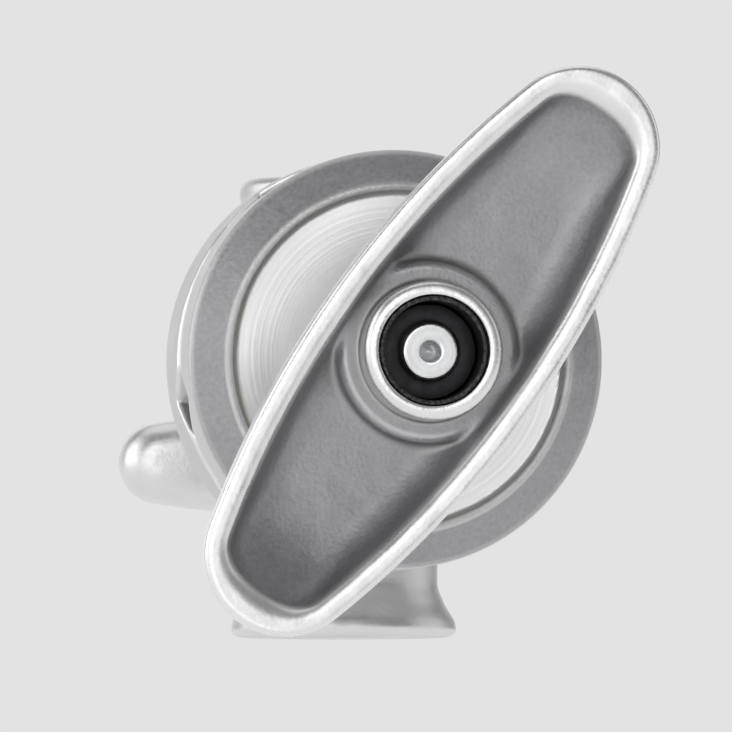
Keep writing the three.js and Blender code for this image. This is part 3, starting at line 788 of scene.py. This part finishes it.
def jaw_spring():
    """A compression spring whose end coils close up and are ground flat."""
    low, high = local_box("jaw_spring", ON_JAWS)
    wire, turns, steps, sides = 0.95, 5, 60, 14
    r = 7.2  # of the coil's middle
    flatter = 0.85  # how far the end coils close up
    length = high[2] - low[2] - wire
    points = []
    for k in range(turns * steps + 1):
        t = k / (turns * steps)
        a = TAU * turns * t
        z = low[2] + wire / 2 + length * (t - flatter / TAU * math.sin(TAU * t))
        for j in range(sides):
            b = TAU * j / sides
            out = r + wire * math.cos(b)
            up = min(max(z + wire * math.sin(b), low[2]), high[2])
            points.append((out * math.cos(a), out * math.sin(a), up))
    faces = []
    for k in range(turns * steps):
        for j in range(sides):
            this, beside = k * sides + j, k * sides + (j + 1) % sides
            faces.append((this, this + sides, beside + sides, beside))
    last = turns * steps * sides
    faces.append(tuple(range(sides)))
    faces.append(tuple(reversed(range(last, last + sides))))
    return make_object("jaw_spring", points, faces, ON_JAWS, crease=35)


# ---- Materials ----------------------------------------------------------------------------------


class Shader:
    """A node material with short helpers. Places inside it are millimetres on the object."""

    def __init__(self, name):
        self.material = bpy.data.materials.new(name)
        self.material.use_nodes = True
        self.nodes = self.material.node_tree.nodes
        self.links = self.material.node_tree.links
        self.surface = self.nodes["Principled BSDF"].inputs
        self.coordinates = self.nodes.new("ShaderNodeTexCoord").outputs
        self.place = self.vector("SCALE", self.coordinates["Object"], 1 / MM)

    def put(self, socket, value):
        if isinstance(value, bpy.types.NodeSocket):
            self.links.new(value, socket)
        else:
            socket.default_value = value

    def vector(self, operation, a, b):
        node = self.nodes.new("ShaderNodeVectorMath")
        node.operation = operation
        self.put(node.inputs[0], a)
        self.put(node.inputs["Scale" if operation == "SCALE" else 1], b)
        return node.outputs[0]

    def maths(self, operation, a, b=0.0):
        node = self.nodes.new("ShaderNodeMath")
        node.operation = operation
        self.put(node.inputs[0], a)
        self.put(node.inputs[1], b)
        return node.outputs[0]

    def spread(self, value, low, high, to_low=0.0, to_high=1.0):
        node = self.nodes.new("ShaderNodeMapRange")
        for socket, number in zip(node.inputs, (value, low, high, to_low, to_high)):
            self.put(socket, number)
        return node.outputs[0]

    def noise(self, per_mm, detail=3.0, place=None, rough=0.55):
        node = self.nodes.new("ShaderNodeTexNoise")
        self.put(node.inputs["Vector"], place or self.place)
        node.inputs["Scale"].default_value = per_mm
        node.inputs["Detail"].default_value = detail
        node.inputs["Roughness"].default_value = rough
        return node.outputs["Fac"]

    def mix_number(self, share, a, b):
        node = self.nodes.new("ShaderNodeMix")
        for socket, value in zip((node.inputs[0], node.inputs[2], node.inputs[3]), (share, a, b)):
            self.put(socket, value)
        return node.outputs[0]

    def mix(self, share, a, b):
        node = self.nodes.new("ShaderNodeMix")
        node.data_type = "RGBA"
        self.put(node.inputs["Factor"], share)
        for socket, value in ((node.inputs[6], a), (node.inputs[7], b)):
            self.put(socket, value if isinstance(value, bpy.types.NodeSocket) else (*value, 1))
        return node.outputs[2]

    def bump(self, height, deep, under=None):
        """deep is how far, in millimetres, a height of 1 stands out."""
        node = self.nodes.new("ShaderNodeBump")
        node.inputs["Distance"].default_value = deep * MM
        self.put(node.inputs["Height"], height)
        if under:
            self.put(node.inputs["Normal"], under)
        return node.outputs[0]

    def mark(self, name):
        node = self.nodes.new("ShaderNodeAttribute")
        node.attribute_name = name
        return node.outputs["Fac"]

    def round_tangent(self):
        """Runs round the stud's axis."""
        node = self.nodes.new("ShaderNodeTangent")
        node.direction_type = "RADIAL"
        node.axis = "Y"
        return node.outputs[0]

    def ring_place(self):
        """A place that changes only with the distance from the stud's axis and along it."""
        parts = self.nodes.new("ShaderNodeSeparateXYZ")
        self.put(parts.inputs[0], self.place)
        x, y, z = parts.outputs
        squares = self.maths("ADD", self.maths("MULTIPLY", x, x), self.maths("MULTIPLY", z, z))
        radius = self.maths("SQRT", squares)
        joined = self.nodes.new("ShaderNodeCombineXYZ")
        self.put(joined.inputs[0], radius)
        self.put(joined.inputs[1], y)
        return joined.outputs[0]

    def clear_from_behind(self):
        """Lets the back of a surface be seen through."""
        chosen = self.nodes.new("ShaderNodeMixShader")
        self.put(chosen.inputs[0], self.nodes.new("ShaderNodeNewGeometry").outputs["Backfacing"])
        self.put(chosen.inputs[1], self.nodes["Principled BSDF"].outputs[0])
        self.put(chosen.inputs[2], self.nodes.new("ShaderNodeBsdfTransparent").outputs[0])
        self.put(self.nodes["Material Output"].inputs["Surface"], chosen.outputs[0])

    def finish(self, colour, roughness, normal, metallic=1.0):
        self.put(self.surface["Base Color"], colour)
        self.put(self.surface["Roughness"], roughness)
        self.put(self.surface["Normal"], normal)
        self.surface["Metallic"].default_value = metallic
        return self.material


def cast_aluminium(name):
    """Cast aluminium in three finishes that the mesh marks: tumbled bright, raw from the mould, and
    turned, with rings round the stud that stretch its highlights."""
    s = Shader(name)
    raw, turned = s.mark("raw"), s.mark("turned")
    waves, grain = s.noise(0.11, 2), s.noise(1.5, 4)
    rings = s.noise(2.2, 2, s.ring_place())
    worn, hollow = s.spread(s.mark("edge"), 0.2, 0.8), s.spread(s.mark("edge"), -0.15, -0.8)
    colour = s.mix(s.spread(waves, 0.35, 0.65), (0.84, 0.845, 0.85), (0.90, 0.90, 0.897))
    colour = s.mix(turned, colour, (0.95, 0.95, 0.948))
    colour = s.mix(raw, colour, s.mix(s.spread(grain, 0.3, 0.7), (0.36, 0.36, 0.374), (0.45, 0.45, 0.465)))
    # Painted shade: hollows and inner corners are mixed towards a darker grey where shade would fall.
    colour = s.mix(s.maths("MULTIPLY", hollow, 0.7), colour, (0.42, 0.42, 0.41))
    # Outer edges are mixed towards a brighter grey: partly rubbed bright edges, partly a painted highlight
    # along every rim.
    colour = s.mix(s.maths("MULTIPLY", worn, 0.8), colour, (0.93, 0.93, 0.925))
    roughness = s.spread(s.maths("ADD", grain, waves), 0.7, 1.3, 0.26, 0.40)
    roughness = s.maths("ADD", roughness, s.maths("MULTIPLY", raw, 0.16))
    roughness = s.mix_number(turned, roughness, s.spread(rings, 0.3, 0.7, 0.29, 0.37))
    roughness = s.maths("SUBTRACT", roughness, s.maths("MULTIPLY", worn, 0.08))
    skin = s.spread(turned, 0, 1, 1.0, 0.1)
    normal = s.bump(s.maths("MULTIPLY", rings, turned), 0.018)
    normal = s.bump(s.maths("MULTIPLY", s.noise(0.16, 1), skin), 0.25, normal)
    coarse = s.maths("MULTIPLY", grain, s.spread(raw, 0, 1, 1.0, 2.6))
    normal = s.bump(s.maths("MULTIPLY", coarse, skin), 0.03, normal)
    s.put(s.surface["Anisotropic"], s.maths("MULTIPLY", turned, 0.82))
    s.put(s.surface["Tangent"], s.round_tangent())
    return s.finish(colour, roughness, normal)


def steel(name, colour, low_rough, high_rough, ring_depth=0.01):
    """Turned or ground steel: rings round its axis, fine scratches and brighter edges."""
    s = Shader(name)
    rings = s.noise(3.0, 3, s.ring_place())
    cloud = s.noise(0.3, 3)
    worn = s.maths("MULTIPLY", s.spread(s.mark("edge"), 0.2, 0.8), s.spread(cloud, 0.3, 0.6))
    dark = tuple(0.72 * c for c in colour)
    tone = s.mix(s.spread(cloud, 0.3, 0.75), dark, colour)
    tone = s.mix(s.maths("MULTIPLY", worn, 0.7), tone, tuple(min(1, 1.2 * c) for c in colour))
    roughness = s.spread(s.maths("ADD", rings, cloud), 0.7, 1.3, low_rough, high_rough)
    normal = s.bump(s.noise(4.0, 2), 0.006, s.bump(rings, ring_depth))
    return s.finish(tone, roughness, normal)


def black_steel(name):
    """Black oxide that has rubbed through to grey along its edges."""
    s = Shader(name)
    grain = s.noise(2.0, 4)
    worn = s.maths("MULTIPLY", s.spread(s.mark("edge"), 0.5, 1.0, 0, 0.25), s.spread(grain, 0.45, 0.65))
    tone = s.mix(s.spread(s.noise(0.5), 0.3, 0.7), (0.018, 0.018, 0.02), (0.04, 0.04, 0.044))
    tone = s.mix(worn, tone, (0.35, 0.35, 0.36))
    return s.finish(tone, s.spread(grain, 0.3, 0.7, 0.38, 0.55), s.bump(grain, 0.015), metallic=0.7)


def friction_fibre(name):
    """Pressed fibre: short light strands in a dark brown binder."""
    s = Shader(name)
    strands = s.noise(1.2, 5, s.vector("MULTIPLY", s.place, (1, 4, 3)), 0.7)
    tone = s.mix(s.spread(strands, 0.45, 0.7), (0.05, 0.043, 0.038), (0.24, 0.2, 0.16))
    return s.finish(tone, s.spread(strands, 0.3, 0.7, 0.75, 0.95), s.bump(strands, 0.06), metallic=0.0)


MATERIALS = {
    "cast_aluminium": cast_aluminium("satin_cast_aluminium"),
    "zinc_steel": steel("bright_zinc_steel", (0.77, 0.776, 0.784), 0.16, 0.32),
    "hardened_steel": steel("ground_hardened_steel", (0.60, 0.61, 0.62), 0.22, 0.38),
    "spring_steel": steel("drawn_spring_steel", (0.42, 0.43, 0.45), 0.25, 0.42),
    "black_steel": black_steel("black_oxide_steel"),
    "brass": steel("turned_brass", (0.79, 0.635, 0.29), 0.2, 0.36),
    "friction_fibre": friction_fibre("pressed_friction_fibre"),
}

# ---- Assembly -----------------------------------------------------------------------------------

BODY_OF = {node: body for body, nodes in frame["record"]["behaviour"]["bodies"].items() for node in nodes}
SLOT_OF = {row["node"]: row["material_slot"] for row in frame["record"]["subparts"]}


def stand_in(made):
    """The piece stands for its CAD node and takes its finish."""
    node = made.name.removesuffix(FINE)
    made.data.materials.append(MATERIALS[SLOT_OF[node]])
    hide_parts(node)
    return made


def ride_piece(made):
    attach(stand_in(made), BODY_OF[made.name.removesuffix(FINE)])


for build in (socket_body, inner_jaw, outer_jaw, t_handle, lock_t_handle):
    ride_piece(build())
for build in (main_stud, lock_screw, handle_nut, bearing_cage, roll_pin, lock_pad):
    ride_piece(build())
for roller in bearing_rollers():
    ride_piece(roller)

ride_piece(flat_ring("rear_thrust_washer", ON_JAWS, WASHER_HOLE))
ride_piece(flat_ring("front_thrust_washer", ON_HANDLE, WASHER_HOLE))
ride_piece(flat_ring("friction_disc", ON_STUD, STUD_R + 1.2))
ride_piece(flat_ring("stud_stop_ring", ON_STUD, STUD_R - 0.5, sides=64))
ride_piece(flat_ring("lock_bush", ON_LOCK, SCREW_HOLE, sides=64, soft=0.3))

for k, (px, py) in enumerate(GUIDE_PLACES):
    name = f"jaw_guide_pin_{k + 1}"
    low, high = local_box(name, ON_JAWS)
    ride_piece(plain_pin(name, ON_JAWS @ Matrix.Translation((px, py, 0)), GUIDE_R, low[2], high[2], 0.5))

low, high = local_box("lock_cross_pin", ON_LOCK)
lift = Matrix.Translation((0, 0, (low[2] + high[2]) / 2))
across = ON_LOCK @ lift @ Matrix.Rotation(-math.pi / 2, 4, "X")
ride_piece(plain_pin("lock_cross_pin", across, high[0], -high[1], high[1], 0.3))

spring = stand_in(jaw_spring())
low, high = local_box("jaw_spring", ON_STUD)
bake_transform(spring)

# ---- Floor, light and camera --------------------------------------------------------------------

BACKDROP = (0.768, 0.768, 0.768)


def pale_floor():
    """A plain floor well below the object, which hangs in the air as it does on its stand. From
    beneath, the floor is clear."""
    s = Shader("pale_floor")
    tone = s.mix(s.noise(0.02, 3), (0.86, 0.86, 0.86), (0.88, 0.88, 0.88))
    s.put(s.surface["Emission Color"], tone)
    s.surface["Emission Strength"].default_value = 0.3
    material = s.finish(tone, 0.9, s.bump(s.noise(0.3), 0.05), metallic=0.0)
    s.clear_from_behind()
    reach, height = 8.0, -0.30  # metres
    corners = [(x * reach, y * reach, height) for x, y in ((-1, -1), (1, -1), (1, 1), (-1, 1))]
    mesh = bpy.data.meshes.new("floor")
    mesh.from_pydata(corners, [], [(0, 1, 2, 3)])
    mesh.materials.append(material)
    floor = bpy.data.objects.new("floor", mesh)
    bpy.context.scene.collection.objects.link(floor)
    floor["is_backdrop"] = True


# Soft sources round the object: direction, half width and soft edge in degrees, brightness.
SOURCES = (
    ((-0.3, -1.0, 0.0), 15, 26, 1.4),
    ((-1.0, 0.1, 0.1), 24, 24, 1.3),
    ((0.0, 0.2, 1.0), 22, 20, 0.6),
    ((1.0, 0.1, 0.3), 14, 18, 0.55),
    ((0.05, 1.0, 0.15), 16, 20, 0.8),
)
AMBIENT = 0.24


def studio_world():
    """A plain backdrop for the camera. Everything else sees the soft sources on a dim surround."""
    world = bpy.data.worlds.new("studio")
    bpy.context.scene.world = world
    world.use_nodes = True
    nodes, links = world.node_tree.nodes, world.node_tree.links
    background = nodes["Background"]
    direction = nodes.new("ShaderNodeTexCoord").outputs["Generated"]
    total = None
    for towards, half, edge, strength in SOURCES:
        dot = nodes.new("ShaderNodeVectorMath")
        dot.operation = "DOT_PRODUCT"
        links.new(direction, dot.inputs[0])
        dot.inputs[1].default_value = Vector(towards).normalized()
        lobe = nodes.new("ShaderNodeMapRange")
        lobe.interpolation_type = "SMOOTHSTEP"
        links.new(dot.outputs["Value"], lobe.inputs[0])
        lobe.inputs[1].default_value = math.cos(math.radians(half + edge))
        lobe.inputs[2].default_value = math.cos(math.radians(half))
        lobe.inputs[4].default_value = strength
        added = nodes.new("ShaderNodeMath")
        added.operation = "ADD"
        links.new(lobe.outputs[0], added.inputs[0])
        added.inputs[1].default_value = AMBIENT
        if total:
            links.new(total, added.inputs[1])
        total = added.outputs[0]
    chosen = nodes.new("ShaderNodeMix")
    chosen.data_type = "RGBA"
    links.new(nodes.new("ShaderNodeLightPath").outputs["Is Camera Ray"], chosen.inputs["Factor"])
    links.new(total, chosen.inputs[6])
    chosen.inputs[7].default_value = (*BACKDROP, 1)
    links.new(chosen.outputs[2], background.inputs["Color"])


def camera():
    """Slightly left of the stud's axis and slightly below it, with a long lens."""
    data = bpy.data.cameras.new("camera")
    data.lens = 900
    data.clip_end = 20
    made = bpy.data.objects.new("camera", data)
    bpy.context.scene.collection.objects.link(made)
    bpy.context.scene.camera = made
    azimuth, elevation, distance = math.radians(-9.5), math.radians(-2.2), 2.8
    level = Vector((math.sin(azimuth), -math.cos(azimuth), 0)) * math.cos(elevation)
    back = level + Vector((0, 0, math.sin(elevation)))
    low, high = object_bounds()
    made.location = (low + high) / 2 + back * distance
    made.rotation_mode = "QUATERNION"
    made.rotation_quaternion = (-back).to_track_quat("-Z", "Y")


pale_floor()
studio_world()
camera()
bpy.context.scene.view_settings.view_transform = "Standard"

low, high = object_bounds()
{"cad": [list(cad_low), list(cad_high)], "visual": [list(low), list(high)]}
